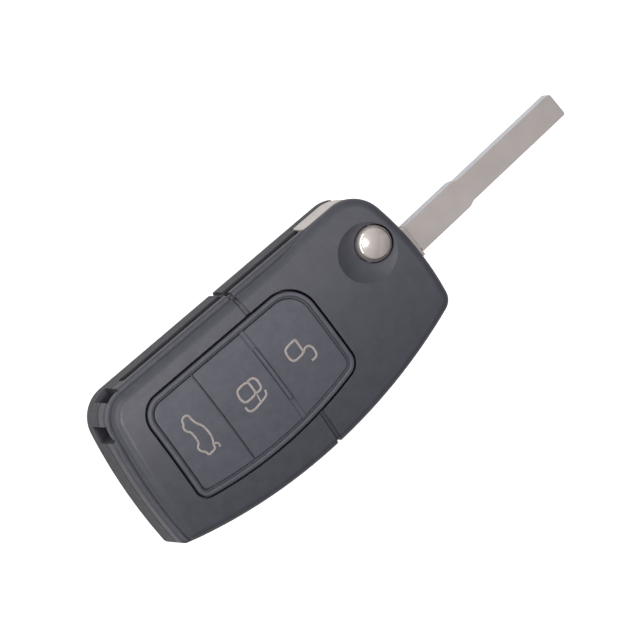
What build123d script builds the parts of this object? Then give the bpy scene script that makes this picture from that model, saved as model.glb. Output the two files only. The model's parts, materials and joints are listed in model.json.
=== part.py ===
"""Flip key remote shell: a head with a folding blade, and a remote half with three buttons.

The key lies on its rear face. X runs along the body towards the open blade, Y towards the straight
side where the blade folds in, and Z up through the front face with the buttons. Sizes in millimetres.
"""

import os
from math import cos, hypot, radians, sin, sqrt

from build123d import *

os.makedirs("parts", exist_ok=True)

# Body outline seen from the front
body_length = 75.15
body_width = 38.0
bulge_radius = 111.5
bulge_shift = -3.6
tail_radius = 105.0
tail_shift = -6.0
nose_radius = 77.3
nose_shift = -1.45
keyring_corner = 7.2
hub_corner = 7.45
nose_corner = 3.5
tail_corner = 1.4

# Body section
body_height = 15.5
parting_z = 8.6
crown_radius = 86.5
crown_y = 4.0
front_round = 2.0
rear_round = 1.3
wall = 1.5
floor = 1.6

# Shoulder along the straight side and the tail
ledge_z = 12.5
ledge_width = 1.1
ledge_tail_width = 1.2
ledge_round = 0.7
ledge_fade_x = 13.5
ledge_fade_length = 10.0
ledge_fade_round = 30.0
plateau_corner = 6.0
plateau_tail_corner = 2.2

# Seam between the remote half and the head
seam_x = 0.6
rabbet_width = 1.1
rabbet_depth = 0.5
seam_groove_width = 0.3
seam_groove_depth = 0.9
parting_groove = 0.4

# Pivot of the blade, which is also the release button's axis
pivot_setback = 6.85
pivot_inset = 10.85
open_angle = 2.75

# Blade
blade_low = 7.0
blade_thickness = 3.2
blade_offset = 5.96
blade_reach = 49.3
blade_root_width = 6.36
blade_tip_width = 5.37
shoulder_reach = 22.9
shoulder_length = 1.3
shoulder_step = 0.5
tip_corner = 0.6
tang_width = 3.3
tang_shift = 0.72
tang_length = 11.0
root_gap = 0.15
blade_gap = 0.3

# Hub, measured from the pivot
hub_low = 3.6
hub_high = 11.6
hub_front = 8.0
hub_back = 8.8
hub_flank = 10.75
hub_tail = 9.2
hub_gap = 0.3
hub_bore = 8.6
hub_toe = 2.3
hub_inset = 0.15
hub_edge_round = 0.6
hub_floor_z = 5.2
hub_notch_setback = 5.4
hub_notch_inset = 4.8
journal_diameter = 9.0
journal_length = 1.8
journal_clearance = 0.05
socket_wall = 1.1
pin_diameter = 1.5
pin_bore = 0.6
pin_reach = 5.0
fit_clearance = 0.03

# Release button
button_diameter = 7.3
button_bore = 7.9
button_top = 16.3
button_dome_radius = 11.0
button_edge_round = 1.0
button_clearance = 0.08
button_lip_thickness = 0.7
flange_diameter = 8.4
flange_thickness = 1.0
release_travel = 2.0
dish_radius = 6.4
dish_depth = 1.7
dish_shift = 2.4
boss_wall = 1.3

# Coil spring under the release button
spring_wire = 0.7
spring_diameter = 7.4
spring_turns = 3.6

# Blade slot in the straight side
slot_end_inset = 11.3
slot_clearance = 0.4
slot_wall = 1.0
slot_end_round = 1.2
rest_rib_width = 1.0
rest_rib_spacing = 8.0

# Keyring passage around a post in the corner
ring_low = 4.3
ring_roof = 11.3
ring_inner = 1.0
ring_post = 2.3
ring_strip = 0.55
ring_angle = 137.5
post_half_angle = 19.5
window_half_angle = 48.7

# Keypad
pad_nose_inset = 24.0
pad_tail_inset = 8.5
pad_side_inset = 5.2
pad_bulge_inset = 7.25
pad_taper = 0.5
pad_arc_radius = 86.6
pad_arc_x = -9.0
pad_corner_hub = 6.8
pad_corner_ring = 5.2
pad_corner_nose = 3.7
pad_corner_tail = 2.9
pad_gap = 0.5
rim_width = 0.95
rim_rise = 0.35
rim_round = 0.3
moat_width = 0.35
moat_drop = 0.35
key_drop = 0.1
key_round = 0.25
key_gap = 0.1
web_gap = 0.05
key_thickness = 1.3
key_travel = 0.4
web_groove_x = -15.6
web_groove_width = 0.3
web_rib_x = -2.25
web_rib_width = 1.0
rib_width = 0.9
rib_length = 12.9
rib_y = 1.45
rib_rise = 0.45
rib_round = 0.3
unlock_inset = 8.2
lock_x = -8.5
boot_inset = 7.1
key_y = 0.9
nub_diameter = 3.0
nub_clearance = 0.4

# Tray under the keypad, which reaches into the head
tray_low = 11.0
tray_thickness = 1.2
tray_gap = 0.3
well_wall = 1.2

# Circuit board and what it carries
board_low = 8.2
board_thickness = 1.0
board_gap = 0.5
board_edge_gap = 0.3
board_end_gap = 3.2
tongue_low_y = -8.8
switch_size = 4.6
switch_height = 1.6
plunger_diameter = 2.2
plunger_well = 0.9
plunger_end_gap = 0.1
plunger_gap = 0.15
plunger_rise = 0.7
post_diameter = 2.6
post_x = -17.2
post_y = -2.0
post_spacing_x = 28.5
post_spacing_y = 16.5
chip_size = 5.0
chip_height = 1.2
chip_inset = 11.4
crystal_inset = 3.7
crystal_length = 5.6
crystal_width = 2.6
crystal_height = 1.3

# Coin cell and its contacts
cell_diameter = 20.0
cell_height = 3.2
cell_tail_inset = 21.0
cell_y = -4.6
cell_gap = 0.2
cell_crimp = 1.2
contact_sheet = 0.25
contact_width = 3.6
contact_foot = 5.0
contact_drop = 5.0
contact_touch = 2.0
tab_foot = 3.0

# Screw that joins the head's halves, reached once the remote half is off
screw_inset = 5.8
screw_y = -5.6
screw_diameter = 1.9
screw_head = 3.6
screw_head_height = 1.2
cross_length = 2.2
cross_width = 0.5
cross_depth = 0.7
tab_low = 5.0
tab_thickness = 1.4
tab_width = 6.0
screw_boss_wall = 1.4
screw_end_gap = 0.5

# Transponder and its cradle
transponder_wall_gap = 0.1
transponder_length = 12.0
transponder_width = 6.0
transponder_height = 3.0
transponder_gap = 0.1
transponder_edge = 0.4
cradle_wall = 0.8
cradle_height = 1.6

# Worked out from the sizes above
half_length = body_length / 2
half_width = body_width / 2
pivot_x = half_length - pivot_setback
pivot_y = half_width - pivot_inset
pad_right_x = half_length - pad_nose_inset
pad_left_x = pad_tail_inset - half_length
pad_top_y = half_width - pad_side_inset
pad_bottom_y = pad_bulge_inset - half_width
unlock_x = pad_right_x - unlock_inset
boot_x = pad_left_x + boot_inset
key_inset = pad_gap + rim_width + moat_width
slot_end_x = slot_end_inset - half_length
cell_x = cell_tail_inset - half_length
blade_high = blade_low + blade_thickness
slot_low = blade_low - blade_gap
slot_high = blade_high + blade_gap
slot_floor_y = pivot_y + blade_offset - blade_root_width / 2 - slot_clearance
bay_edge_y = slot_floor_y - slot_wall
hub_sweep = hypot(hub_back, hub_flank) + hub_gap
tail_centre_x = tail_radius - half_length
nose_centre_x = half_length - nose_radius
ring_y = half_width - keyring_corner
ring_x = tail_centre_x - sqrt((tail_radius - keyring_corner) ** 2 - (ring_y - tail_shift) ** 2)
tray_top = tray_low + tray_thickness
board_top = board_low + board_thickness
bulkhead_x = pad_right_x + well_wall
bulkhead_end_x = bulkhead_x + wall
transponder_x = bulkhead_end_x + cradle_wall + transponder_wall_gap + transponder_length / 2
transponder_run = transponder_x + transponder_length / 2 + cradle_wall - bulge_shift
bulge_inner_y = bulge_radius - half_width + wall - sqrt(bulge_radius**2 - transponder_run**2)
transponder_y = bulge_inner_y + transponder_wall_gap + transponder_width / 2
screw_x = bulkhead_x - screw_inset
board_end_x = bulkhead_x - board_end_gap
chip_x = board_end_x - chip_inset
crystal_x = board_end_x - crystal_inset
tongue_edge_y = tongue_low_y - board_gap
tab_top = tab_low + tab_thickness
cell_top = floor + cell_height
hub_roof = hub_high + hub_gap
reach = 2 * body_length


def trim_outline(inset, tail_ledge=0.0):
    """Keeps what lies inside the bulge, the tail's arc and the nose's arc, moved inwards by inset."""
    with Locations((bulge_shift, bulge_radius - half_width)):
        Circle(bulge_radius - inset, mode=Mode.INTERSECT)
    with Locations((tail_centre_x, tail_shift)):
        Circle(tail_radius - tail_ledge - inset, mode=Mode.INTERSECT)
    with Locations(Location((nose_centre_x, nose_shift, 0), (0, 0, 180))):
        Circle(nose_radius - inset, mode=Mode.INTERSECT)


def round_corners(inset, ring_corner, tip_corner):
    """Rounds the four corners of an outline moved inwards by inset; a tight tip stays square inside."""
    fillet(vertices().sort_by(lambda v: v.X - v.Y)[0], ring_corner - inset)
    fillet(vertices().sort_by(lambda v: v.X + v.Y)[-1], hub_corner - inset)
    fillet(vertices().sort_by(lambda v: v.X - v.Y)[-1], nose_corner - inset)
    if tip_corner - inset > ledge_round:
        fillet(vertices().sort_by(lambda v: v.X + v.Y)[0], tip_corner - inset)


def outline(inset=0.0):
    """Outline of the body, moved inwards by inset."""
    with BuildSketch() as sketch:
        with Locations((0, half_width - inset - reach / 2)):
            Rectangle(reach, reach)
        trim_outline(inset)
        round_corners(inset, keyring_corner, tail_corner)
    return sketch.sketch


def plateau(inset=0.0):
    """Outline of the raised front face inside the shoulder, moved inwards by inset."""
    side_y = half_width - inset
    fade_start = (ledge_fade_x, side_y - ledge_width)
    fade_end = (ledge_fade_x + ledge_fade_length, side_y)
    with BuildSketch() as sketch:
        with BuildLine():
            Polyline(
                (-reach, side_y - ledge_width),
                fade_start,
                fade_end,
                (reach, side_y),
                (reach, -reach),
                (-reach, -reach),
                close=True,
            )
        make_face()
        for bend in (fade_start, fade_end):
            fillet(sketch.vertices().sort_by_distance((*bend, 0))[0], ledge_fade_round)
        trim_outline(inset, ledge_tail_width)
        round_corners(inset, plateau_corner, plateau_tail_corner)
    return sketch.sketch


def pad_outline(inset=0.0):
    """Outline of the keypad's opening, moved inwards by inset."""
    left_x = pad_left_x + inset
    top_y = pad_top_y - inset
    with BuildSketch() as sketch:
        with BuildLine():
            Polyline(
                (left_x, top_y),
                (pad_right_x - inset, top_y),
                (pad_right_x - inset, -reach),
                (left_x - pad_taper, -reach),
                (left_x - pad_taper, pad_bottom_y),
                close=True,
            )
        make_face()
        with Locations((pad_arc_x, pad_bottom_y + pad_arc_radius)):
            Circle(pad_arc_radius - inset, mode=Mode.INTERSECT)
        fillet(sketch.vertices().sort_by(lambda v: v.X - v.Y)[0], pad_corner_ring - inset)
        fillet(sketch.vertices().sort_by(lambda v: v.X + v.Y)[-1], pad_corner_hub - inset)
        fillet(sketch.vertices().sort_by(lambda v: v.X - v.Y)[-1], pad_corner_nose - inset)
        fillet(sketch.vertices().sort_by(lambda v: v.X + v.Y)[0], pad_corner_tail - inset)
    return sketch.sketch


def strip(x_from, x_to, y_from=-reach, y_to=reach):
    """Rectangle between two X and two Y values."""
    with BuildSketch() as sketch:
        with Locations(((x_from + x_to) / 2, (y_from + y_to) / 2)):
            Rectangle(x_to - x_from, y_to - y_from)
    return sketch.sketch


def disc(x, y, radius):
    """Round face about a point."""
    with BuildSketch() as sketch:
        with Locations((x, y)):
            Circle(radius)
    return sketch.sketch


def wedge(x, y, start_angle, end_angle, radius):
    """Pie slice about a point, between two angles in degrees."""
    middle = (start_angle + end_angle) / 2
    rim = [
        (x + radius * cos(radians(angle)), y + radius * sin(radians(angle)))
        for angle in (start_angle, middle, end_angle)
    ]
    with BuildSketch() as sketch:
        with BuildLine():
            Line((x, y), rim[0])
            ThreePointArc(*rim)
            Line(rim[2], (x, y))
        make_face()
    return sketch.sketch


def inner_walls():
    """Walls that stand inside the casing, seen from the front."""
    with BuildSketch() as sketch:
        add(strip(-reach, slot_end_x, bay_edge_y, reach))
        add(strip(-reach, bulkhead_end_x, bay_edge_y, slot_floor_y))
        add(strip(seam_x - wall, seam_x + wall, -reach, tongue_edge_y))
        add(strip(seam_x - wall, seam_x + wall, slot_floor_y, reach))
        add(strip(bulkhead_x, bulkhead_end_x))
    return sketch.sketch


def raise_face(face, low, high, mode=Mode.ADD):
    """Extrudes a flat face between two heights in the part being built."""
    with BuildSketch(Plane.XY.offset(low)) as level:
        add(face)
    extrude(level.sketch, amount=high - low, mode=mode)


def trim_crown(drop=0.0, mode=Mode.INTERSECT):
    """Keeps what lies under the crowned front face lowered by drop, or cuts it away."""
    with BuildSketch(Plane.YZ.offset(-reach)) as section:
        with Locations((crown_y, body_height - drop - crown_radius)):
            Circle(crown_radius)
    extrude(section.sketch, amount=2 * reach, mode=mode)


def crown_height(y):
    """Height of the front face at a distance across the body."""
    return body_height - crown_radius + sqrt(crown_radius**2 - (y - crown_y) ** 2)


def front_form(inset=0.0):
    """Front half of the body with its shoulder and rounded edges, moved inwards by inset."""
    with BuildPart() as shoulder:
        raise_face(outline(inset), parting_z, ledge_z - inset)
        fillet(shoulder.faces().sort_by(Axis.Z)[-1].edges(), ledge_round)
        raise_face(plateau(inset), parting_z, body_height, Mode.SUBTRACT)
    with BuildPart() as form:
        raise_face(plateau(inset), parting_z, body_height)
        trim_crown(inset)
        fillet(form.faces().sort_by(Axis.Z)[-1].edges(), front_round - inset)
        add(shoulder.part)
    return form.part


def rear_form(inset=0.0):
    """Rear half of the body with its rounded edge, moved inwards by inset."""
    with BuildPart() as form:
        raise_face(outline(inset), inset, parting_z)
        fillet(form.faces().sort_by(Axis.Z)[0].edges(), rear_round - inset)
    return form.part


def seam_skin(width, depth):
    """Skin of the head beside the seam, to be cut away."""
    with BuildPart() as skin:
        raise_face(strip(seam_x - wall, seam_x + width), 0, body_height)
        add(front_form(depth), mode=Mode.SUBTRACT)
        add(rear_form(depth), mode=Mode.SUBTRACT)
    return skin.part


def cut_blade_slot():
    """Cuts the slot in the straight side that the folded blade lies in."""
    with BuildSketch(Plane.XZ.offset(-slot_floor_y)) as section:
        with Locations(((slot_end_x + pivot_x) / 2, (slot_low + slot_high) / 2)):
            Rectangle(pivot_x - slot_end_x, slot_high - slot_low)
        fillet(section.vertices().group_by(Axis.X)[0], slot_end_round)
    extrude(section.sketch, amount=-reach, mode=Mode.SUBTRACT)


def cut_hub_sweep():
    """Cuts the round space that the hub turns in, open through the head's corner."""
    raise_face(disc(pivot_x, pivot_y, hub_sweep), hub_low - hub_gap, hub_roof, Mode.SUBTRACT)


def cut_ring_passage():
    """Cuts the curved keyring passage behind the corner post, and its two windows."""
    post_inner = keyring_corner - ring_post
    start = ring_angle - window_half_angle
    end = ring_angle + window_half_angle
    with BuildSketch(Plane.XY.offset(ring_low)) as level:
        add(wedge(ring_x, ring_y, start, end, post_inner))
        add(wedge(ring_x, ring_y, start, ring_angle - post_half_angle, keyring_corner + wall))
        add(wedge(ring_x, ring_y, ring_angle + post_half_angle, end, keyring_corner + wall))
        with Locations((ring_x, ring_y)):
            Circle(ring_inner, mode=Mode.SUBTRACT)
    extrude(level.sketch, amount=ring_roof - ring_low, mode=Mode.SUBTRACT)
    strip_radius = keyring_corner - ledge_width + ring_strip
    with BuildSketch(Plane.XY.offset(ring_roof)) as notch:
        add(wedge(ring_x, ring_y, start, ring_angle - post_half_angle, keyring_corner + wall))
        add(wedge(ring_x, ring_y, ring_angle + post_half_angle, end, keyring_corner + wall))
        with Locations((ring_x, ring_y)):
            Circle(strip_radius, mode=Mode.SUBTRACT)
    extrude(notch.sketch, amount=ledge_z - ring_roof, mode=Mode.SUBTRACT)


# Whole body, front half and rear half, before they are parted at the seam
with BuildPart() as front_body:
    add(front_form())

with BuildPart() as rear_body:
    add(rear_form())
    with BuildSketch(Plane.XY.offset(parting_z - parting_groove)) as groove:
        Rectangle(reach, reach)
        add(outline(parting_groove), mode=Mode.SUBTRACT)
    extrude(groove.sketch, amount=parting_groove, mode=Mode.SUBTRACT)

# Hollows of the two halves, with the keypad's well, the button's boss and the inner walls left standing
with BuildPart() as front_hollow:
    raise_face(outline(wall), parting_z, body_height)
    trim_crown(wall)
    raise_face(plateau(wall), parting_z, body_height, Mode.INTERSECT)
    raise_face(inner_walls(), parting_z, body_height, Mode.SUBTRACT)
    raise_face(pad_outline(-well_wall), tray_low, body_height, Mode.SUBTRACT)
    with BuildSketch(Plane.XY.offset(hub_roof)) as boss:
        add(disc(pivot_x, pivot_y, button_bore / 2 + boss_wall))
        add(disc(pivot_x - dish_shift, pivot_y, dish_radius + boss_wall))
    extrude(amount=body_height, mode=Mode.SUBTRACT)

with BuildPart() as rear_hollow:
    raise_face(outline(wall), floor, parting_z)
    raise_face(inner_walls(), 0, parting_z, Mode.SUBTRACT)

# Sunken band on the head beside the seam, with a deeper groove along the seam itself
with BuildPart() as seam_band:
    add(seam_skin(rabbet_width, rabbet_depth))
    add(seam_skin(seam_groove_width, seam_groove_depth))

# Remote half, front shell with the keypad's well, its tray and the keyring post
with BuildPart() as remote_front_shell:
    add(front_body.part)
    raise_face(strip(seam_x, reach), 0, body_height, Mode.SUBTRACT)
    add(front_hollow.part, mode=Mode.SUBTRACT)
    with BuildSketch(Plane.XY.offset(tray_low)) as tray:
        add(pad_outline(tray_gap))
        add(strip(-reach, seam_x - wall), mode=Mode.SUBTRACT)
    extrude(amount=tray_thickness)
    raise_face(pad_outline(), tray_top, body_height, Mode.SUBTRACT)
    with BuildSketch(Plane.XY.offset(tray_low)) as nub_holes:
        with Locations((unlock_x, key_y), (lock_x, key_y), (boot_x, key_y)):
            Circle(nub_diameter / 2 + nub_clearance)
    extrude(amount=tray_thickness, mode=Mode.SUBTRACT)
    cut_blade_slot()
    cut_ring_passage()
remote_front_shell.part.label = "remote_front_shell"
export_step(remote_front_shell.part, "parts/remote_front_shell.step")

# Remote half, rear cover with the coin cell's ring, the board's posts and ribs under the blade
cell_ring = cell_diameter / 2 + cell_gap
with BuildPart() as remote_rear_cover:
    add(rear_body.part)
    raise_face(strip(seam_x, reach), 0, parting_z, Mode.SUBTRACT)
    add(rear_hollow.part, mode=Mode.SUBTRACT)
    with BuildSketch(Plane.XY.offset(floor)) as ring:
        add(disc(cell_x, cell_y, cell_ring + cradle_wall))
        add(disc(cell_x, cell_y, cell_ring), mode=Mode.SUBTRACT)
        add(strip(cell_x, reach, cell_y - contact_width, cell_y + contact_width), mode=Mode.SUBTRACT)
    extrude(amount=cell_height - cell_crimp)
    with BuildSketch(Plane.XY.offset(floor)) as posts:
        with Locations((post_x, post_y)):
            with GridLocations(post_spacing_x, post_spacing_y, 2, 2):
                Circle(post_diameter / 2)
    extrude(amount=board_low - floor)
    with BuildSketch(Plane.XY.offset(floor)) as ribs:
        with Locations((slot_end_x / 2, (bay_edge_y + half_width - wall) / 2)):
            with GridLocations(rest_rib_spacing, 0, 3, 1):
                Rectangle(rest_rib_width, half_width - wall - bay_edge_y)
    extrude(amount=slot_low - floor)
    cut_blade_slot()
    cut_ring_passage()
remote_rear_cover.part.label = "remote_rear_cover"
export_step(remote_rear_cover.part, "parts/remote_rear_cover.step")

# Head, front shell with the thumb dish, the button's bore and the tab under the screw
dish_sphere = (dish_radius**2 + dish_depth**2) / (2 * dish_depth)
dish_face_z = crown_height(pivot_y) - dish_depth
with BuildPart() as head_front_shell:
    add(front_body.part)
    raise_face(strip(-reach, seam_x), 0, body_height, Mode.SUBTRACT)
    add(seam_band.part, mode=Mode.SUBTRACT)
    add(front_hollow.part, mode=Mode.SUBTRACT)
    raise_face(pad_outline(), tray_low - tray_gap, body_height, Mode.SUBTRACT)
    tab_sides = (screw_y - tab_width / 2, screw_y + tab_width / 2)
    raise_face(strip(bulkhead_x, bulkhead_end_x, *tab_sides), tab_low, parting_z)
    raise_face(strip(screw_x - tab_width / 2, bulkhead_end_x, *tab_sides), tab_low, tab_top)
    raise_face(disc(screw_x, screw_y, screw_diameter / 2 + fit_clearance), tab_low, tab_top, Mode.SUBTRACT)
    with Locations((pivot_x - dish_shift, pivot_y, dish_face_z + dish_sphere)):
        Sphere(dish_sphere, mode=Mode.SUBTRACT)
    lip_top = hub_roof + button_lip_thickness
    raise_face(disc(pivot_x, pivot_y, button_bore / 2), lip_top, reach, Mode.SUBTRACT)
    raise_face(disc(pivot_x, pivot_y, button_diameter / 2 + button_clearance), 0, reach, Mode.SUBTRACT)
    cut_blade_slot()
    cut_hub_sweep()
head_front_shell.part.label = "head_front_shell"
export_step(head_front_shell.part, "parts/head_front_shell.step")

# Head, rear shell with the hub's socket, the screw's boss and the transponder's cradle
socket_bore = journal_diameter / 2 + journal_clearance
screw_end = floor + screw_end_gap
with BuildPart() as head_rear_shell:
    add(rear_body.part)
    raise_face(strip(-reach, seam_x), 0, parting_z, Mode.SUBTRACT)
    add(seam_band.part, mode=Mode.SUBTRACT)
    add(rear_hollow.part, mode=Mode.SUBTRACT)
    raise_face(strip(bulkhead_x, bulkhead_end_x, tab_sides[0] - tray_gap, tab_sides[1] + tray_gap),
               tab_low - tray_gap, parting_z, Mode.SUBTRACT)
    raise_face(disc(pivot_x, pivot_y, socket_bore + socket_wall), floor, hub_low - hub_gap)
    raise_face(disc(pivot_x, pivot_y, socket_bore), floor, hub_low, Mode.SUBTRACT)
    raise_face(disc(screw_x, screw_y, screw_diameter / 2 + screw_boss_wall), floor, tab_low)
    raise_face(disc(screw_x, screw_y, screw_diameter / 2 + fit_clearance), floor, tab_low, Mode.SUBTRACT)
    with BuildSketch(Plane.XY.offset(floor)) as cradle:
        with Locations((transponder_x, transponder_y)):
            Rectangle(transponder_length + 2 * cradle_wall, transponder_width + 2 * cradle_wall)
            Rectangle(transponder_length, transponder_width, mode=Mode.SUBTRACT)
    extrude(amount=cradle_height)
    notch_x = half_length - hub_notch_setback
    notch_y = half_width - hub_notch_inset
    raise_face(strip(notch_x, reach, notch_y, reach), 0, parting_z, Mode.SUBTRACT)
    cut_blade_slot()
    cut_hub_sweep()
head_rear_shell.part.label = "head_rear_shell"
export_step(head_rear_shell.part, "parts/head_rear_shell.step")

# Hub: a cast block about the pivot, with the spring's bore, the journal and the tang's pocket
hub_plane = Plane((pivot_x, pivot_y, 0))
blade_plane = hub_plane.rotated((0, 0, open_angle))
tang_y = -blade_offset - tang_shift
tang_start = hub_front - tang_length
hub_back_x = pivot_x - hub_back
hub_front_x = pivot_x + hub_front
hub_tail_y = pivot_y - hub_tail
with BuildSketch() as hub_heel:
    add(strip(hub_back_x, pivot_x, hub_tail_y, pivot_y))
    add(disc(pivot_x, pivot_y, hub_tail), mode=Mode.SUBTRACT)

with BuildPart() as blade_hub:
    with BuildSketch(Plane.XY.offset(hub_low)) as hub_face:
        add(strip(hub_back_x, hub_front_x, hub_tail_y, pivot_y + hub_flank))
        add(outline(hub_inset), mode=Mode.INTERSECT)
        add(strip(pivot_x, hub_front_x, hub_tail_y, pivot_y - hub_toe))
        add(hub_heel.sketch, mode=Mode.SUBTRACT)
        fillet(hub_face.vertices().sort_by(lambda v: v.X - v.Y)[0], hub_edge_round)
    extrude(amount=hub_high - hub_low)
    with BuildSketch(hub_plane.offset(hub_low - journal_length)):
        Circle(journal_diameter / 2)
    extrude(amount=journal_length)
    with BuildSketch(hub_plane.offset(hub_floor_z)):
        Circle(hub_bore / 2)
    extrude(amount=hub_high - hub_floor_z, mode=Mode.SUBTRACT)
    with BuildSketch(blade_plane.offset(blade_low)):
        with Locations((tang_start + tang_length, tang_y)):
            Rectangle(2 * tang_length, tang_width + 2 * fit_clearance)
    extrude(amount=blade_thickness, mode=Mode.SUBTRACT)
    with BuildSketch(blade_plane.offset(hub_low)):
        with Locations((pin_reach, tang_y)):
            Circle(pin_diameter / 2)
    extrude(amount=hub_high - hub_low, mode=Mode.SUBTRACT)
blade_hub.part.label = "blade_hub"
export_step(blade_hub.part, "parts/blade_hub.step")

# Blade: shoulders on both edges, plain uncut faces, and a narrow tang in the hub
root_half = blade_root_width / 2
root_left = root_half - blade_offset
root_right = -root_half - blade_offset
tip_left = root_left - shoulder_step
tip_right = tip_left - blade_tip_width
blade_start = hub_front + root_gap
tang_end = shoulder_reach - shoulder_length
with BuildPart() as key_blade:
    with BuildSketch(blade_plane.offset(blade_low)) as blade_face:
        with BuildLine():
            Polyline(
                (blade_start, root_left),
                (shoulder_reach - shoulder_length, root_left),
                (shoulder_reach, tip_left),
                (blade_reach, tip_left),
                (blade_reach, tip_right),
                (shoulder_reach, tip_right),
                (shoulder_reach - shoulder_length, root_right),
                (blade_start, root_right),
                close=True,
            )
        make_face()
        fillet(blade_face.vertices().group_by(Axis.X)[-1], tip_corner)
        with Locations(((tang_start + tang_end) / 2, tang_y)):
            Rectangle(tang_end - tang_start, tang_width)
    extrude(amount=blade_thickness)
    with BuildSketch(blade_plane.offset(blade_low)):
        with Locations((pin_reach, tang_y)):
            Circle(pin_diameter / 2)
    extrude(amount=blade_thickness, mode=Mode.SUBTRACT)
key_blade.part.label = "key_blade"
export_step(key_blade.part, "parts/key_blade.step")

# Roll pin through hub and tang
with BuildPart() as blade_roll_pin:
    with BuildSketch(blade_plane.offset(hub_low)):
        with Locations((pin_reach, tang_y)):
            Circle(pin_diameter / 2)
            Circle(pin_bore / 2, mode=Mode.SUBTRACT)
    extrude(amount=hub_high - hub_low)
blade_roll_pin.part.label = "blade_roll_pin"
export_step(blade_roll_pin.part, "parts/blade_roll_pin.step")

# Release button: a domed shank with a flange that the bore's lip holds down
flange_low = hub_roof - flange_thickness
with BuildPart() as release_button:
    with BuildSketch(hub_plane.offset(flange_low)):
        Circle(flange_diameter / 2)
    extrude(amount=flange_thickness)
    with BuildSketch(hub_plane.offset(hub_roof)):
        Circle(button_diameter / 2)
    extrude(amount=button_top - hub_roof)
    with Locations((pivot_x, pivot_y, button_top - button_dome_radius)):
        Sphere(button_dome_radius, mode=Mode.INTERSECT)
    fillet(release_button.faces().sort_by(Axis.Z)[-1].edges(), button_edge_round)
release_button.part.label = "release_button"
export_step(release_button.part, "parts/release_button.step")

# Coil spring between the floor of the hub's bore and the button's flange
coil_height = flange_low - hub_floor_z - spring_wire
coil_start = (pivot_x, pivot_y, hub_floor_z + spring_wire / 2)
with BuildPart() as button_spring:
    with BuildLine() as coil:
        Helix(coil_height / spring_turns, coil_height, spring_diameter / 2, center=coil_start)
    with BuildSketch(Plane(coil.line @ 0, z_dir=coil.line % 0)):
        Circle(spring_wire / 2)
    sweep(path=coil.line, is_frenet=True)
button_spring.part.label = "button_spring"
export_step(button_spring.part, "parts/button_spring.step")


def key_region(x_from, x_to, gap=0.0, side_gap=0.0):
    """Face of one key, cut from the field inside the keypad's rim."""
    with BuildSketch() as sketch:
        add(pad_outline(key_inset + gap))
        add(strip(x_from + side_gap, x_to - side_gap), mode=Mode.INTERSECT)
    return sketch.sketch


# Keypad frame: rim, moat, a thin web sunk as a groove, and a web with the raised rib
groove_left = web_groove_x - web_groove_width / 2
groove_right = web_groove_x + web_groove_width / 2
rib_left = web_rib_x - web_rib_width / 2
rib_right = web_rib_x + web_rib_width / 2
key_spans = {
    "unlock": (rib_right, reach, unlock_x),
    "lock": (groove_right, rib_left, lock_x),
    "boot": (-reach, groove_left, boot_x),
}
with BuildPart() as above_keys:
    raise_face(pad_outline(pad_gap + rim_width), 0, reach)
    trim_crown(key_drop, Mode.SUBTRACT)

with BuildPart() as above_moat:
    raise_face(pad_outline(pad_gap + rim_width), 0, reach)
    raise_face(pad_outline(key_inset), 0, reach, Mode.SUBTRACT)
    raise_face(key_region(groove_left, groove_right), 0, reach)
    trim_crown(key_drop + moat_drop, Mode.SUBTRACT)

with BuildPart() as raised_rib:
    with BuildSketch(Plane.XY.offset(tray_top)):
        with Locations(Location((web_rib_x, rib_y, 0), (0, 0, 90))):
            SlotOverall(rib_length, rib_width)
    extrude(amount=body_height)
    trim_crown(key_drop - rib_rise)
    fillet(raised_rib.faces().sort_by(Axis.Z)[-1].edges(), rib_round)

with BuildPart() as keypad_frame:
    raise_face(pad_outline(pad_gap), tray_top, reach)
    trim_crown(-rim_rise)
    add(above_keys.part, mode=Mode.SUBTRACT)
    rim_edges = keypad_frame.edges().filter_by(lambda edge: edge.center().Z > crown_height(edge.center().Y))
    fillet(rim_edges, rim_round)
    add(above_moat.part, mode=Mode.SUBTRACT)
    for x_from, x_to, nub_x in key_spans.values():
        raise_face(key_region(x_from, x_to), 0, reach, Mode.SUBTRACT)
    add(raised_rib.part)
keypad_frame.part.label = "keypad_frame"
export_step(keypad_frame.part, "parts/keypad_frame.step")

# Each key with its nub, and the tactile switch and plunger below it
plunger_top = board_top + switch_height + plunger_rise
well_floor = board_top + switch_height - plunger_well
plunger_low = well_floor + key_travel + plunger_end_gap
for name, (x_from, x_to, nub_x) in key_spans.items():
    with BuildPart() as key:
        raise_face(key_region(x_from, x_to, key_gap, web_gap), tray_top, body_height)
        trim_crown(key_drop)
        rim_side = key.faces().sort_by(Axis.Z)[-1].edges()
        for web_x in (x_from + web_gap, x_to - web_gap):
            rim_side = rim_side.filter_by(lambda edge: abs(edge.center().X - web_x) > web_gap)
        fillet(rim_side, key_round)
        trim_crown(key_drop + key_thickness, Mode.SUBTRACT)
        raise_face(disc(nub_x, key_y, nub_diameter / 2), plunger_top, crown_height(key_y) - key_thickness)
    key.part.label = name + "_button"
    export_step(key.part, "parts/" + name + "_button.step")

    with BuildPart() as switch:
        with BuildSketch(Plane.XY.offset(board_top)):
            with Locations((nub_x, key_y)):
                Rectangle(switch_size, switch_size)
        extrude(amount=switch_height)
        raise_face(disc(nub_x, key_y, plunger_diameter / 2 + plunger_gap), well_floor, reach, Mode.SUBTRACT)
    switch.part.label = name + "_switch"
    export_step(switch.part, "parts/" + name + "_switch.step")

    with BuildPart() as plunger:
        raise_face(disc(nub_x, key_y, plunger_diameter / 2), plunger_low, plunger_top)
    plunger.part.label = name + "_plunger"
    export_step(plunger.part, "parts/" + name + "_plunger.step")

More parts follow.
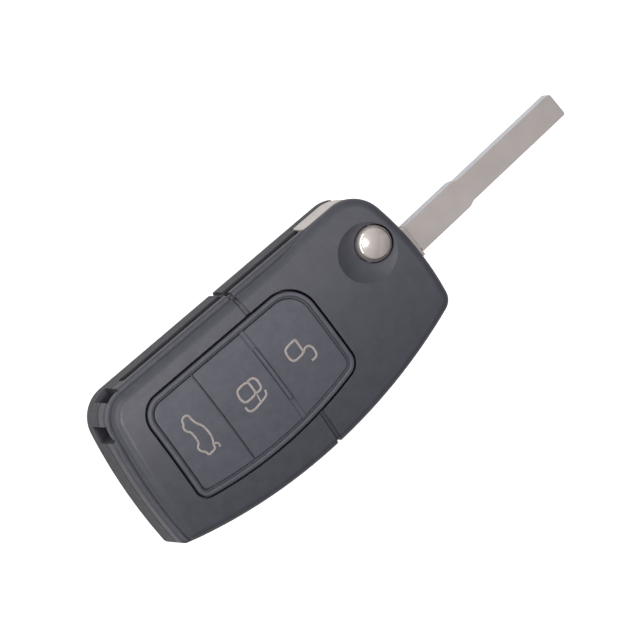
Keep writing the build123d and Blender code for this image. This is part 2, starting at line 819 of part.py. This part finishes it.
# Circuit board: fills the remote's bay and reaches under the keypad into the head
with BuildPart() as circuit_board:
    with BuildSketch(Plane.XY.offset(board_low)):
        add(outline(wall + board_gap))
        add(plateau(wall + board_gap), mode=Mode.INTERSECT)
        add(strip(-reach, reach, bay_edge_y - board_edge_gap, reach), mode=Mode.SUBTRACT)
        add(strip(board_end_x, reach), mode=Mode.SUBTRACT)
        add(strip(seam_x - wall - board_gap, reach, -reach, tongue_low_y), mode=Mode.SUBTRACT)
    extrude(amount=board_thickness)
circuit_board.part.label = "circuit_board"
export_step(circuit_board.part, "parts/circuit_board.step")

# Coin cell: a can with a stepped lid towards the board
with BuildPart() as coin_cell:
    raise_face(disc(cell_x, cell_y, cell_diameter / 2), floor, cell_top - cell_crimp / 2)
    raise_face(disc(cell_x, cell_y, cell_diameter / 2 - cell_crimp), floor, cell_top)
coin_cell.part.label = "coin_cell"
export_step(coin_cell.part, "parts/coin_cell.step")

# Negative contact: a sheet spring from the board down to the cell's lid
contact_plane = Plane.XZ.offset(-cell_y - contact_width / 2)
foot_z = board_low - contact_sheet / 2
touch_z = cell_top + contact_sheet / 2
leaf_x = cell_x - contact_drop / 2
with BuildPart() as negative_contact:
    with BuildSketch(contact_plane):
        with BuildLine():
            Polyline(
                (leaf_x - contact_foot, foot_z),
                (leaf_x, foot_z),
                (leaf_x + contact_drop, touch_z),
                (leaf_x + contact_drop + contact_touch, touch_z),
            )
        trace(line_width=contact_sheet)
    extrude(amount=contact_width)
negative_contact.part.label = "negative_contact"
export_step(negative_contact.part, "parts/negative_contact.step")

# Positive contact: a foot under the board and a tab that touches the cell's side
side_x = cell_x + cell_diameter / 2 + contact_sheet / 2
with BuildPart() as positive_contact:
    with BuildSketch(contact_plane):
        with BuildLine():
            Polyline(
                (side_x + tab_foot, foot_z),
                (side_x, foot_z),
                (side_x, floor + contact_sheet),
            )
        trace(line_width=contact_sheet)
    extrude(amount=contact_width)
positive_contact.part.label = "positive_contact"
export_step(positive_contact.part, "parts/positive_contact.step")

# Transmitter chip and crystal can on the board's rear side
with BuildPart() as transmitter_chip:
    with BuildSketch(Plane.XY.offset(board_low - chip_height)):
        with Locations((chip_x, key_y)):
            Rectangle(chip_size, chip_size)
    extrude(amount=chip_height)
transmitter_chip.part.label = "transmitter_chip"
export_step(transmitter_chip.part, "parts/transmitter_chip.step")

with BuildPart() as crystal_can:
    with BuildSketch(Plane.XY.offset(board_low - crystal_height)):
        with Locations((crystal_x, key_y)):
            SlotOverall(crystal_length, crystal_width)
    extrude(amount=crystal_height)
crystal_can.part.label = "crystal_can"
export_step(crystal_can.part, "parts/crystal_can.step")

# Transponder wedge in the head's cradle
with BuildPart() as transponder_chip:
    with BuildSketch(Plane.XY.offset(floor)):
        with Locations((transponder_x, transponder_y)):
            Rectangle(transponder_length - 2 * transponder_gap, transponder_width - 2 * transponder_gap)
    extrude(amount=transponder_height)
    chamfer(transponder_chip.faces().sort_by(Axis.Z)[-1].edges(), transponder_edge)
transponder_chip.part.label = "transponder_chip"
export_step(transponder_chip.part, "parts/transponder_chip.step")

# Head screw with a cross recess
with BuildPart() as head_screw:
    raise_face(disc(screw_x, screw_y, screw_diameter / 2), screw_end, tab_top)
    raise_face(disc(screw_x, screw_y, screw_head / 2), tab_top, tab_top + screw_head_height)
    with BuildSketch(Plane.XY.offset(tab_top + screw_head_height)):
        with Locations((screw_x, screw_y)):
            Rectangle(cross_length, cross_width)
            Rectangle(cross_width, cross_length)
    extrude(amount=-cross_depth, mode=Mode.SUBTRACT)
head_screw.part.label = "head_screw"
export_step(head_screw.part, "parts/head_screw.step")
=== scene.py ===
import json
from math import sqrt

import bmesh
import bpy
from mathutils import Matrix, Vector


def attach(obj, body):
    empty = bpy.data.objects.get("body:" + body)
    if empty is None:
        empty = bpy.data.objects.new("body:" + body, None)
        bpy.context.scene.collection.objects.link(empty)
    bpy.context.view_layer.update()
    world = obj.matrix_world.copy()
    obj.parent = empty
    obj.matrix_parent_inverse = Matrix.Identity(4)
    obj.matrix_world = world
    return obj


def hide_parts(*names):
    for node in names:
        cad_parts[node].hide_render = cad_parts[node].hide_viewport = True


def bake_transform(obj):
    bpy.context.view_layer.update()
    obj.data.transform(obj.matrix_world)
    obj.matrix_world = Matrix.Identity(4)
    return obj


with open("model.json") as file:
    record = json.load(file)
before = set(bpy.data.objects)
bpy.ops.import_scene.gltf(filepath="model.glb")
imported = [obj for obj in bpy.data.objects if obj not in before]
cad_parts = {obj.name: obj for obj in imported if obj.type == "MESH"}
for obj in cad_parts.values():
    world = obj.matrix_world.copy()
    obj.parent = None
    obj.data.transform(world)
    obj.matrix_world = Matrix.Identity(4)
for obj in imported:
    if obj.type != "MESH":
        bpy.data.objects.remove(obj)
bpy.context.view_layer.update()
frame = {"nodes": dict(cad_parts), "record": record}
nodes = frame["nodes"]
scene = bpy.context.scene

# The part's own lengths are in millimetres, as in its source, and MM turns them into metres
MM = 0.001

# Crowned front face, with the values of the part's source
BODY_HEIGHT = 15.5
CROWN_RADIUS = 86.5
CROWN_Y = 4.0
KEY_DROP = 0.1


def key_top(y):
    """Height of the keys' crowned tops in millimetres, at a place across the body."""
    return BODY_HEIGHT - CROWN_RADIUS + sqrt(CROWN_RADIUS**2 - (y - CROWN_Y) ** 2) - KEY_DROP


# Shader nodes

def feed(tree, socket, value):
    """Gives a socket a value, or a link from another node's output."""
    if isinstance(value, bpy.types.NodeSocket):
        tree.links.new(value, socket)
    else:
        socket.default_value = value


def add(tree, kind, inputs=None, **settings):
    """New shader node. Its settings come before its inputs, because they decide which inputs it has."""
    node = tree.nodes.new(kind)
    for name, value in settings.items():
        setattr(node, name, value)
    for name, value in (inputs or {}).items():
        feed(tree, node.inputs[name], value)
    return node


def place_in_piece(tree):
    return add(tree, "ShaderNodeTexCoord").outputs["Object"]


def noise(tree, scale, detail=2.0, rough=0.5, stretch=None):
    """Noise in object space, its scale in grains per metre, and stretched along an axis if asked."""
    place = place_in_piece(tree)
    if stretch:
        place = add(tree, "ShaderNodeMapping", {"Vector": place, "Scale": stretch}).outputs["Vector"]
    inputs = {"Vector": place, "Scale": scale, "Detail": detail, "Roughness": rough}
    return add(tree, "ShaderNodeTexNoise", inputs).outputs["Fac"]


def ramp(tree, factor, low, high, start, end):
    """Colour that runs from low to high while a factor goes from start to end."""
    node = add(tree, "ShaderNodeValToRGB", {"Fac": factor})
    for stop, place, colour in zip(node.color_ramp.elements, (start, end), (low, high)):
        stop.position = place
        stop.color = colour
    return node.outputs["Color"]


def scaled(tree, value, source, target=(0.0, 1.0)):
    """Value carried from one range to another, and held at the ends."""
    inputs = {"Value": value, "From Min": source[0], "From Max": source[1],
              "To Min": target[0], "To Max": target[1]}
    return add(tree, "ShaderNodeMapRange", inputs).outputs["Result"]


def mixed(tree, factor, low, high, data_type="RGBA"):
    inputs = {"Factor": factor, "A": low, "B": high}
    return add(tree, "ShaderNodeMix", inputs, data_type=data_type).outputs["Result"]


def multiplied(tree, colour, tint):
    inputs = {"Factor": 1.0, "A": colour, "B": tint}
    return add(tree, "ShaderNodeMix", inputs, data_type="RGBA", blend_type="MULTIPLY").outputs["Result"]


def dot(tree, first, second):
    return add(tree, "ShaderNodeVectorMath", {0: first, 1: second}, operation="DOT_PRODUCT").outputs["Value"]


def bump(tree, height, strength, distance):
    inputs = {"Height": height, "Strength": strength, "Distance": distance}
    return add(tree, "ShaderNodeBump", inputs)


# Edge wear with a painted highlight, and painted shade in grooves

# Noise stays near 0.5, so its changes of colour and of roughness lie between these values
CLOUD_SPAN = (0.35, 0.65)
ROUGHNESS_SPAN = (0.3, 0.7)

# Edge wear and the painted highlight start at the first cosine between a surface's normal and its rounded
# one, and are full at the second
BEND_SPAN = (0.98, 0.8)
BEVEL_SAMPLES = 6

# Painted shade in grooves is full where the first share of the space within reach, in metres, is open, and
# none at the second
GROOVE_REACH = 0.0007
GROOVE_SPAN = (0.45, 0.95)
GROOVE_SAMPLES = 12

# A face is level where its normal's Z share is over the first value, and a flank where under the second
FLANK_SPAN = (0.75, 0.35)


def cloud(tree, factor, low, high):
    return ramp(tree, factor, low, high, *CLOUD_SPAN)


def roughness(tree, factor, limits):
    return scaled(tree, factor, ROUGHNESS_SPAN, limits)


def rounded_normal(tree, radius):
    return add(tree, "ShaderNodeBevel", {"Radius": radius}, samples=BEVEL_SAMPLES).outputs["Normal"]


def worn_and_highlit_edges(tree, base, edge_wear_and_highlight, rounded):
    """Colour that turns to the edge colour where the surface bends sharply: partly edge wear, partly a
    painted highlight.
    """
    face = add(tree, "ShaderNodeNewGeometry").outputs["Normal"]
    bend = scaled(tree, dot(tree, rounded, face), BEND_SPAN)
    return mixed(tree, bend, base, edge_wear_and_highlight)


def painted_groove_shade(tree, base, depth):
    """Painted shade: colour that falls to a share of itself in grooves and inner corners."""
    hollow = add(tree, "ShaderNodeAmbientOcclusion", {"Distance": GROOVE_REACH}, samples=GROOVE_SAMPLES)
    groove_shade = scaled(tree, hollow.outputs["AO"], GROOVE_SPAN, (depth, 1.0))
    return multiplied(tree, base, groove_shade)


def flank(tree):
    """1 where a surface stands upright in its own piece, 0 where it faces up or down."""
    normal = add(tree, "ShaderNodeTexCoord").outputs["Normal"]
    split = add(tree, "ShaderNodeSeparateXYZ", {"Vector": normal})
    level = add(tree, "ShaderNodeMath", {0: split.outputs["Z"]}, operation="ABSOLUTE")
    return scaled(tree, level.outputs["Value"], FLANK_SPAN)


# Materials

mats = {}


def lin(*shade):
    """Linear colour from red, green and blue in 0 to 255, as sRGB pictures hold them."""
    parts = [value / 255 for value in shade]
    return (*(v / 12.92 if v <= 0.04045 else ((v + 0.055) / 1.055) ** 2.4 for v in parts), 1.0)


def new_material(name):
    material = bpy.data.materials.new(name)
    material.use_nodes = True
    mats[name] = material
    tree = material.node_tree
    return tree, tree.nodes["Principled BSDF"]


def dress(tree, shader, colour, rough, relief):
    """Joins a colour, a roughness and a bump node to a shader."""
    feed(tree, shader.inputs["Base Color"], colour)
    feed(tree, shader.inputs["Roughness"], rough)
    feed(tree, shader.inputs["Normal"], relief.outputs["Normal"])


def moulded(name, low, high, edge_wear_and_highlight, rough, grain, grain_depth, edge, specular=0.5, groove_shade=None):
    """Moulded plastic or rubber: cloudy colour, fine spark-eroded grain, edges turned to another shade by
    wear and a painted highlight, and if asked, painted shade in its grooves that leaves a share of the
    colour."""
    tree, shader = new_material(name)
    rounded = rounded_normal(tree, edge)
    base = cloud(tree, noise(tree, scale=420, detail=6, rough=0.62), low, high)
    # Edges turn to the edge colour: partly wear, partly a painted highlight
    colour = worn_and_highlit_edges(tree, base, edge_wear_and_highlight, rounded)
    # Painted shade in grooves and inner corners, where asked
    if groove_shade:
        colour = painted_groove_shade(tree, colour, groove_shade)
    shine = roughness(tree, noise(tree, scale=700, detail=3), rough)
    relief = bump(tree, noise(tree, grain, detail=2, rough=0.6), strength=grain_depth, distance=0.00004)
    feed(tree, relief.inputs["Normal"], rounded)
    feed(tree, shader.inputs["Specular IOR Level"], specular)
    dress(tree, shader, colour, shine, relief)


def metal(name, low, high, edge_wear_and_highlight, rough, grain, grain_depth, edge,
          stretch=None, polished=False, level_face_shade=None, flank_rough=None):
    """Metal: cloudy tone, blasted or brushed grain, and bright edges from wear and a painted highlight,
    rounded off unless it is polished. If asked, painted shade dulls the faces that look up or down, and a
    flank's roughness keeps the flanks satin."""
    tree, shader = new_material(name)
    rounded = rounded_normal(tree, edge)
    base = cloud(tree, noise(tree, scale=160, detail=4, rough=0.6), low, high)
    # Edges turn to the edge colour: partly wear, partly a painted highlight
    colour = worn_and_highlit_edges(tree, base, edge_wear_and_highlight, rounded)
    # Painted shade: a tint dulls the faces that look up or down, and the flanks keep the full colour
    if level_face_shade:
        colour = mixed(tree, flank(tree), multiplied(tree, colour, level_face_shade), colour)
    grains = noise(tree, grain, detail=3, stretch=stretch)
    shine = roughness(tree, grains, rough)
    if flank_rough:
        shine = mixed(tree, flank(tree), shine, flank_rough, data_type="FLOAT")
    relief = bump(tree, grains, strength=grain_depth, distance=0.00003)
    if not polished:
        feed(tree, relief.inputs["Normal"], rounded)
    feed(tree, shader.inputs["Metallic"], 1.0)
    dress(tree, shader, colour, shine, relief)


def board_laminate():
    """Circuit board: solder mask over faint copper tracks, laid like the joints of a wall."""
    tree, shader = new_material("board_laminate")
    tracks = add(tree, "ShaderNodeTexBrick", {
        "Vector": place_in_piece(tree), "Scale": 420, "Mortar Size": 0.045,
        "Color1": lin(16, 74, 44), "Color2": lin(20, 84, 50), "Mortar": lin(44, 116, 70),
    })
    shine = roughness(tree, noise(tree, scale=900, detail=3), (0.22, 0.36))
    relief = bump(tree, tracks.outputs["Fac"], strength=0.3, distance=0.00003)
    dress(tree, shader, tracks.outputs["Color"], shine, relief)


def symbol_ink():
    """Printed symbol: warm pale ink, speckled with wear."""
    tree, shader = new_material("symbol_ink")
    colour = cloud(tree, noise(tree, scale=1800, detail=4), lin(148, 139, 134), lin(163, 155, 150))
    shine = roughness(tree, noise(tree, scale=2500), (0.45, 0.6))
    relief = bump(tree, noise(tree, scale=9000), strength=0.2, distance=0.00002)
    dress(tree, shader, colour, shine, relief)


moulded("casing_plastic", lin(63, 63, 71), lin(69, 69, 78), edge_wear_and_highlight=lin(96, 96, 106),
        rough=(0.36, 0.44), grain=4200, grain_depth=0.45, edge=0.00012, groove_shade=0.6)
# Darker plastic for the rear halves: painted shade on the walls that curve under
moulded("shaded_rear_plastic", lin(50, 50, 56), lin(57, 57, 63), edge_wear_and_highlight=lin(86, 86, 95),
        rough=(0.44, 0.54), grain=3800, grain_depth=0.5, edge=0.00012, groove_shade=0.6)
moulded("key_rubber", lin(73, 73, 83), lin(81, 81, 91), edge_wear_and_highlight=lin(74, 74, 84),
        rough=(0.42, 0.52), grain=4800, grain_depth=0.35, edge=0.0002, specular=0.45)
moulded("switch_plastic", lin(52, 52, 54), lin(60, 60, 62), edge_wear_and_highlight=lin(80, 80, 84),
        rough=(0.4, 0.5), grain=8000, grain_depth=0.25, edge=0.00008)
moulded("plunger_plastic", lin(196, 192, 180), lin(206, 202, 190), edge_wear_and_highlight=lin(220, 216, 206),
        rough=(0.4, 0.5), grain=8000, grain_depth=0.2, edge=0.00008)
moulded("chip_resin", lin(34, 34, 36), lin(42, 42, 44), edge_wear_and_highlight=lin(64, 64, 66),
        rough=(0.5, 0.62), grain=9000, grain_depth=0.3, edge=0.00008)
metal("button_chrome", lin(229, 218, 213), lin(237, 226, 221), edge_wear_and_highlight=lin(244, 240, 237),
      rough=(0.09, 0.13), grain=600, grain_depth=0.02, edge=0.00012, polished=True, flank_rough=0.55)
metal("hub_metal", lin(232, 225, 221), lin(240, 233, 229), edge_wear_and_highlight=lin(246, 242, 239),
      rough=(0.48, 0.58), grain=5200, grain_depth=0.3, edge=0.00015, level_face_shade=lin(186, 182, 180))
metal("blade_steel", lin(228, 229, 233), lin(236, 237, 241), edge_wear_and_highlight=lin(242, 243, 246),
      rough=(0.54, 0.62), grain=6500, grain_depth=0.3, edge=0.0001, level_face_shade=(0.59, 0.53, 0.49, 1))
metal("spring_steel", lin(150, 150, 152), lin(170, 170, 172), edge_wear_and_highlight=lin(200, 200, 202),
      rough=(0.25, 0.4), grain=4000, grain_depth=0.2, edge=0.00005, stretch=(1, 1, 0.1))
metal("screw_steel", lin(120, 120, 123), lin(145, 145, 148), edge_wear_and_highlight=lin(190, 190, 192),
      rough=(0.3, 0.45), grain=4000, grain_depth=0.2, edge=0.00006)
metal("cell_steel", lin(205, 205, 206), lin(218, 218, 219), edge_wear_and_highlight=lin(236, 236, 237),
      rough=(0.24, 0.34), grain=3000, grain_depth=0.2, edge=0.0001, stretch=(1, 12, 1))
metal("contact_steel", lin(196, 190, 172), lin(212, 206, 190), edge_wear_and_highlight=lin(230, 226, 214),
      rough=(0.25, 0.36), grain=3000, grain_depth=0.2, edge=0.00006, stretch=(12, 1, 1))
metal("can_metal", lin(200, 200, 202), lin(214, 214, 216), edge_wear_and_highlight=lin(232, 232, 234),
      rough=(0.22, 0.32), grain=3500, grain_depth=0.2, edge=0.0001)
board_laminate()
symbol_ink()

# Each node takes its slot's material, but the rear halves take a darker plastic, which is painted shade on
# their walls that curve under
SHADED_MATERIAL_OF = {"head_rear_shell": "shaded_rear_plastic", "remote_rear_cover": "shaded_rear_plastic"}
slot_of = {part["node"]: part["material_slot"] for part in frame["record"]["subparts"]}
for name, node in nodes.items():
    node.data.materials.clear()
    node.data.materials.append(mats[SHADED_MATERIAL_OF.get(name, slot_of[name])])


def new_object(name, data):
    obj = bpy.data.objects.new(name, data)
    scene.collection.objects.link(obj)
    return obj


def return_spring():
    """The button's spring once more: a copy of its mesh where it stands, while the original is hidden."""
    spring = new_object("return_spring", nodes["button_spring"].data.copy())
    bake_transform(spring)
    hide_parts("button_spring")


return_spring()


# Symbols printed on the keys, in millimetres, X towards the blade and Y towards the straight side

LINE_WIDTH = 0.48
INK_RISE = 0.02

# A printed line's section from edge to edge: shares of its half width, and of its rise over the key
INK_SECTION = ((-1, -0.3), (-0.9, 1), (0.9, 1), (1, -0.3))

# How far along each side a corner is cut
CORNER_CUT = 0.25


def pairs(items, closed):
    """Each item with the next one, and if closed, the last with the first."""
    return zip(items, items[1:] + items[:1] if closed else items[1:])


def between(a, b, share):
    """Point at a share of the way from one point to another."""
    return tuple((1 - share) * p + share * q for p, q in zip(a, b))


def smooth_line(points, closed, rounds):
    """Cuts a line's corners so that it runs round."""
    for _ in range(rounds):
        out = [] if closed else [points[0]]
        for a, b in pairs(points, closed):
            out.append(between(a, b, CORNER_CUT))
            out.append(between(a, b, 1 - CORNER_CUT))
        if not closed:
            out.append(points[-1])
        points = out
    return points


def ribbon(name, body, points, closed=False, width=LINE_WIDTH, rounds=2):
    """Flat printed line that follows a crowned key."""
    points = smooth_line(points, closed, rounds)
    count = len(points)
    bm = bmesh.new()
    rows = []
    for i, (x, y) in enumerate(points):
        before = points[(i - 1) % count] if closed or i else points[i]
        after = points[(i + 1) % count] if closed or i < count - 1 else points[i]
        run = Vector((after[0] - before[0], after[1] - before[1])).normalized()
        side = Vector((-run.y, run.x)) * width / 2
        row = []
        for across, lift in INK_SECTION:
            px = x + side.x * across
            py = y + side.y * across
            row.append(bm.verts.new((px * MM, py * MM, (key_top(py) + INK_RISE * lift) * MM)))
        rows.append(row)
    for a, b in pairs(rows, closed):
        for k in range(len(INK_SECTION) - 1):
            bm.faces.new((a[k], b[k], b[k + 1], a[k + 1]))
    bmesh.ops.recalc_face_normals(bm, faces=bm.faces)
    mesh = bpy.data.meshes.new(name)
    bm.to_mesh(mesh)
    bm.free()
    mesh.materials.append(mats["symbol_ink"])
    for face in mesh.polygons:
        face.use_smooth = True
    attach(new_object(name, mesh), body)


def unlock_symbol():
    """Padlock on its side with its shackle open."""
    ribbon("unlock_symbol_body", "unlock_key", [
        (5.54, 3.50), (5.50, 3.84), (5.20, 3.86), (4.09, 3.81), (2.79, 3.62), (2.36, 3.02), (2.24, 1.84),
        (2.40, 1.00), (2.76, 0.60), (3.40, 0.45), (5.46, 0.57), (5.51, 2.19),
    ], closed=True)
    ribbon("unlock_symbol_shackle", "unlock_key", [
        (5.36, 0.57), (5.81, 1.08), (6.54, 1.27), (7.18, 1.02), (7.52, 0.16), (7.44, -0.93),
        (7.16, -1.55), (6.62, -1.72), (5.73, -1.66),
    ])


def lock_symbol():
    """Padlock on its side with its shackle closed, and the lower outline of a second one."""
    ribbon("lock_symbol_body", "lock_key", [
        (-7.43, 3.65), (-9.00, 3.74), (-10.10, 3.61), (-10.58, 3.06), (-10.80, 1.85), (-10.58, 0.93),
        (-10.15, 0.50), (-9.34, 0.45), (-7.43, 0.58), (-7.39, 2.10),
    ], closed=True)
    ribbon("lock_symbol_shackle", "lock_key", [
        (-7.43, 3.63), (-6.59, 3.65), (-5.89, 3.29), (-5.63, 2.43), (-5.79, 1.12), (-6.14, 0.64),
        (-7.43, 0.63),
    ])
    ribbon("lock_symbol_second", "lock_key", [
        (-10.98, -0.07), (-10.95, -0.94), (-10.54, -1.53), (-9.72, -1.71), (-8.20, -1.52), (-6.40, -1.15),
        (-5.77, -0.83), (-5.60, 0.07),
    ])
    ribbon("lock_symbol_tick", "lock_key", [(-7.46, 0.40), (-7.75, -1.37)], width=0.34, rounds=0)


def boot_symbol():
    """Car from the side with its boot lid up."""
    ribbon("boot_symbol_car", "boot_key", [
        (-21.19, 6.26), (-21.19, 5.04), (-20.81, 3.82), (-20.14, 2.77), (-19.93, 1.31), (-19.97, -0.11),
        (-20.36, -1.10), (-20.74, -1.84), (-20.86, -2.53), (-21.77, -2.62), (-22.71, -2.68),
        (-22.83, -1.75), (-23.68, -0.92), (-23.65, 0.13), (-22.88, 0.44), (-22.76, 1.90), (-22.87, 3.30),
        (-23.51, 3.91), (-23.62, 4.93), (-23.03, 5.42), (-22.95, 6.27), (-21.97, 6.63),
    ], closed=True, width=0.46, rounds=1)
    ribbon("boot_symbol_lid", "boot_key", [(-20.60, -1.51), (-19.65, -1.95), (-19.81, -2.87)],
           width=0.4, rounds=1)


unlock_symbol()
lock_symbol()
boot_symbol()


# Floor, in metres: grey paper, just under the piece, that glows to the camera alone and so looks white

FLOOR_HALF = 2.0
FLOOR_HEIGHT = -0.00005
FLOOR_TONE = 0.60
FLOOR_ROUGHNESS = 0.9
FLOOR_GLOW = 0.85


def floor():
    tree, shader = new_material("floor_paper")
    feed(tree, shader.inputs["Base Color"], (FLOOR_TONE, FLOOR_TONE, FLOOR_TONE, 1))
    feed(tree, shader.inputs["Roughness"], FLOOR_ROUGHNESS)
    seen = add(tree, "ShaderNodeLightPath").outputs["Is Camera Ray"]
    level = add(tree, "ShaderNodeMath", {0: seen, 1: FLOOR_GLOW}, operation="MULTIPLY")
    glow = add(tree, "ShaderNodeEmission", {"Strength": level.outputs["Value"]})
    both = add(tree, "ShaderNodeAddShader", {0: shader.outputs["BSDF"], 1: glow.outputs["Emission"]})
    feed(tree, tree.nodes["Material Output"].inputs["Surface"], both.outputs["Shader"])
    mesh = bpy.data.meshes.new("floor")
    ways = ((-1, -1), (1, -1), (1, 1), (-1, 1))
    mesh.from_pydata([(FLOOR_HALF * x, FLOOR_HALF * y, FLOOR_HEIGHT) for x, y in ways], [], [(0, 1, 2, 3)])
    mesh.materials.append(mats["floor_paper"])
    new_object("floor", mesh)


floor()


# Studio: a sky that is brightest overhead, towards the tail and the straight side, and white to the camera

SKY_LEAN = (-0.32, 0.45, 0.83)
SKY_SPAN = (0.0, 0.9)
SKY_LOW = (0.10, 0.10, 0.104, 1)
SKY_HIGH = (0.80, 0.80, 0.81, 1)
WHITE = (1, 1, 1, 1)


def studio():
    world = bpy.data.worlds.new("studio")
    scene.world = world
    world.use_nodes = True
    tree = world.node_tree
    way = add(tree, "ShaderNodeTexCoord").outputs["Generated"]
    sky = ramp(tree, dot(tree, way, SKY_LEAN), SKY_LOW, SKY_HIGH, *SKY_SPAN)
    seen = add(tree, "ShaderNodeLightPath").outputs["Is Camera Ray"]
    background = tree.nodes["Background"]
    feed(tree, background.inputs["Color"], mixed(tree, seen, sky, WHITE))
    feed(tree, background.inputs["Strength"], 1.0)


studio()

# Lamps, in metres and watts, all aimed at the middle of the casing's height, a little way towards the blade
LAMP_AIM = Vector((0.01, 0.0, 0.008))


def softbox(name, place, size, power):
    light = bpy.data.lights.new(name, "AREA")
    light.shape = "RECTANGLE"
    light.size, light.size_y = size
    light.energy = power
    holder = new_object(name, light)
    holder.location = place
    holder.rotation_euler = (LAMP_AIM - Vector(place)).to_track_quat("-Z", "Y").to_euler()


softbox("key_light", place=(-0.016, 0.062, 0.62), size=(0.065, 0.065), power=1.15)
softbox("fill_light", place=(0.42, -0.37, 0.48), size=(0.55, 0.55), power=0.10)
softbox("back_light", place=(-0.22, 0.48, 0.42), size=(0.5, 0.25), power=1.1)
softbox("tail_light", place=(-0.50, 0.12, 0.34), size=(0.45, 0.3), power=0.70)

# Camera, at the photograph's angle. Its aim and its shifts are in millimetres on the part
CAMERA_BACK = (-0.2518, 0.2064, 0.9455)
CAMERA_RIGHT = (0.7357, -0.5940, 0.3256)
CAMERA_AIM = (13.65, 1.70, 8.0)
CAMERA_SHIFT_RIGHT = 0.1278
CAMERA_SHIFT_UP = 0.4428

# It stands far away, in metres, because the photograph has nearly no perspective
CAMERA_DISTANCE = 1.5
VIEW_WIDTH = 0.128
SENSOR_WIDTH = 36.0


def camera():
    back = Vector(CAMERA_BACK).normalized()
    up = back.cross(Vector(CAMERA_RIGHT).normalized()).normalized()
    right = up.cross(back).normalized()
    centre = (Vector(CAMERA_AIM) + CAMERA_SHIFT_RIGHT * right + CAMERA_SHIFT_UP * up) * MM
    lens = bpy.data.cameras.new("camera")
    lens.sensor_width = SENSOR_WIDTH
    lens.lens = SENSOR_WIDTH * CAMERA_DISTANCE / VIEW_WIDTH
    lens.clip_start = 0.01
    lens.clip_end = 10
    holder = new_object("camera", lens)
    turn = Matrix((right, up, back)).transposed().to_4x4()
    holder.matrix_world = Matrix.Translation(centre + back * CAMERA_DISTANCE) @ turn
    scene.camera = holder


camera()
scene.view_settings.view_transform = "Standard"
